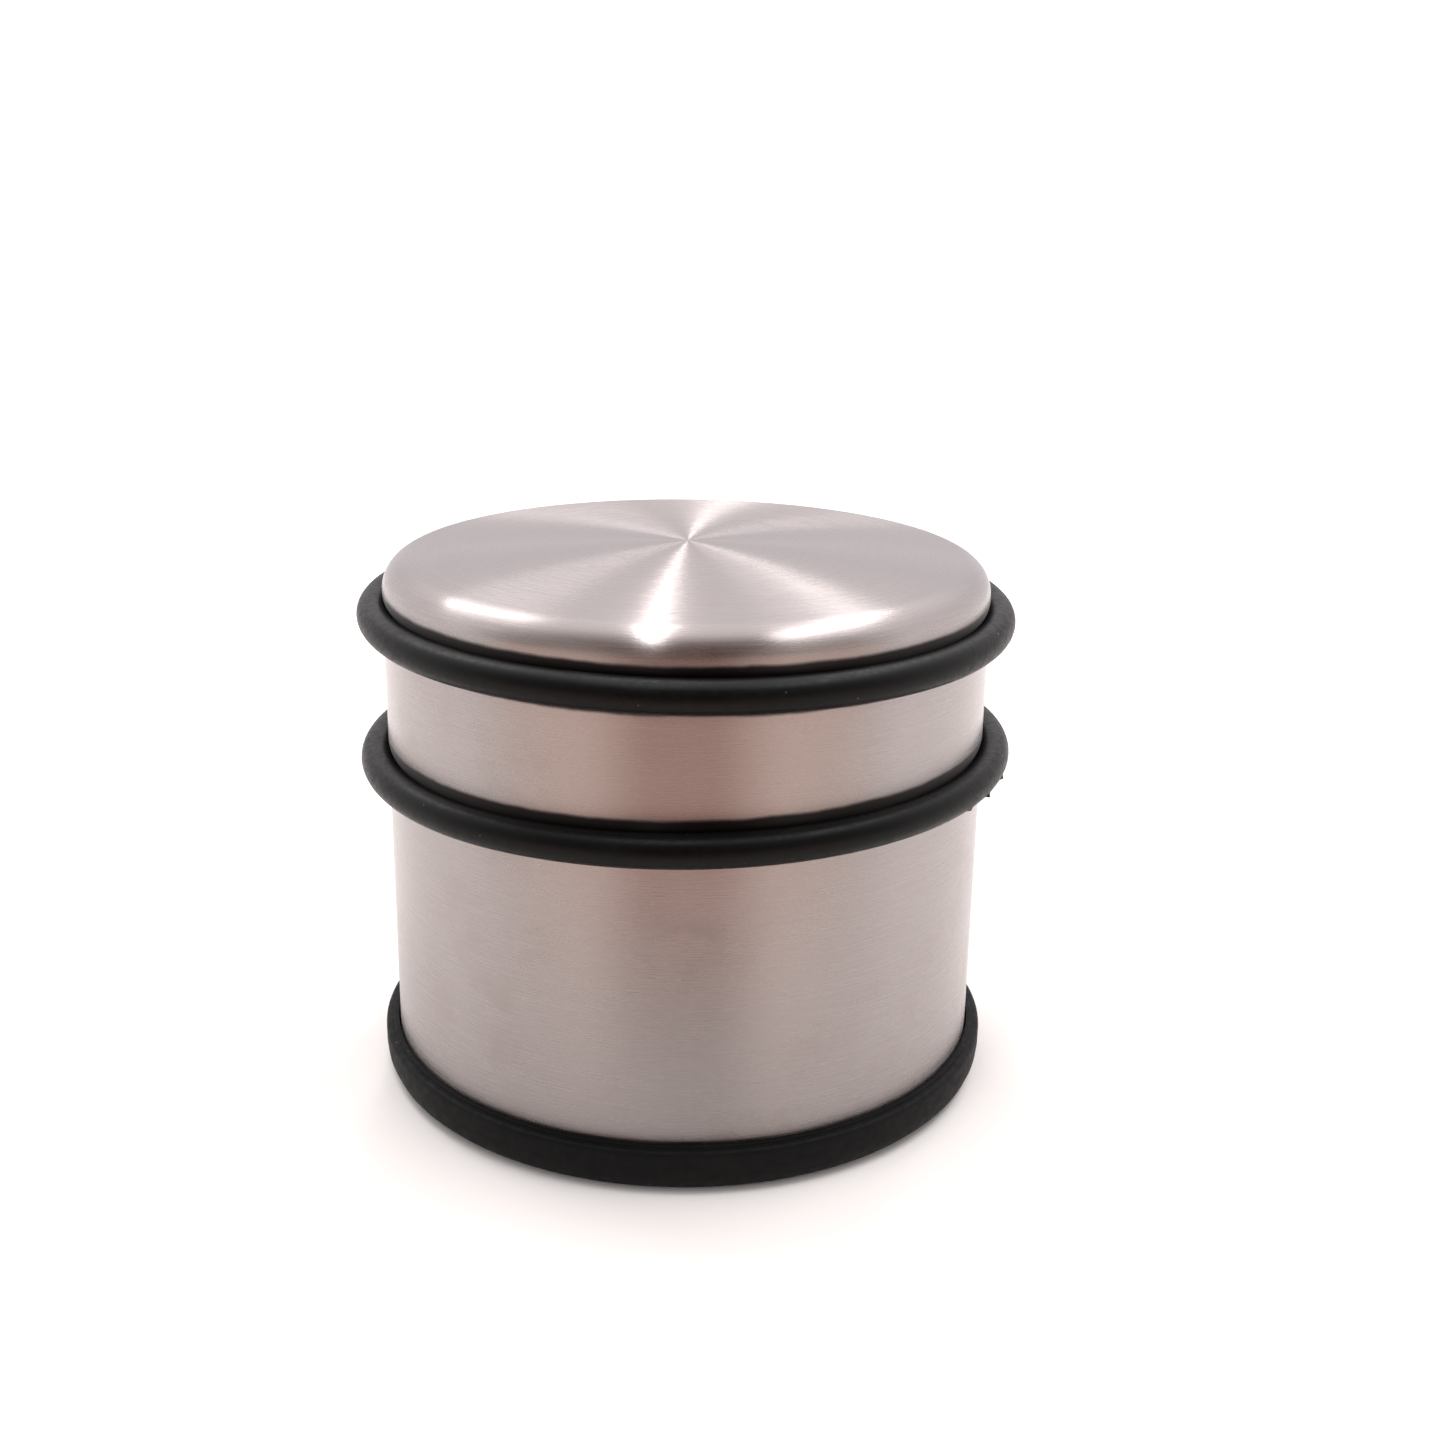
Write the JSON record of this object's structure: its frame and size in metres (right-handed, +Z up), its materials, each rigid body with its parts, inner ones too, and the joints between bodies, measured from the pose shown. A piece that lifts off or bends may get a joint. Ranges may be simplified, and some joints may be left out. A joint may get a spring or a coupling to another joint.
{
  "type": "weighted floor door stop",
  "caption": "Heavy free-standing cylindrical door stop: brushed steel shell with a low domed top, round rubber bumper rings and a rubber base.",
  "frame": {"origin": "on the floor, at the centre of the rubber base's underside", "axes": "+Z up along the cylinder's axis, towards the domed top; the part is round, so +X and +Y are interchangeable"},
  "size_m": [0.09, 0.09, 0.075],
  "materials": {
    "shell_steel": "satin",
    "ring_rubber": "satin",
    "base_rubber": "matte",
    "ballast_cement": "matte",
    "plate_steel": "satin",
    "adhesive_foam": "matte"
  },
  "bodies": {
    "root": {"outer_shell": "shell_steel", "upper_bumper_ring": "ring_rubber", "lower_bumper_ring": "ring_rubber", "cement_ballast": "ballast_cement", "closing_plate": "plate_steel", "adhesive_disc": "adhesive_foam", "rubber_base": "base_rubber"}
  },
  "joints": []
}
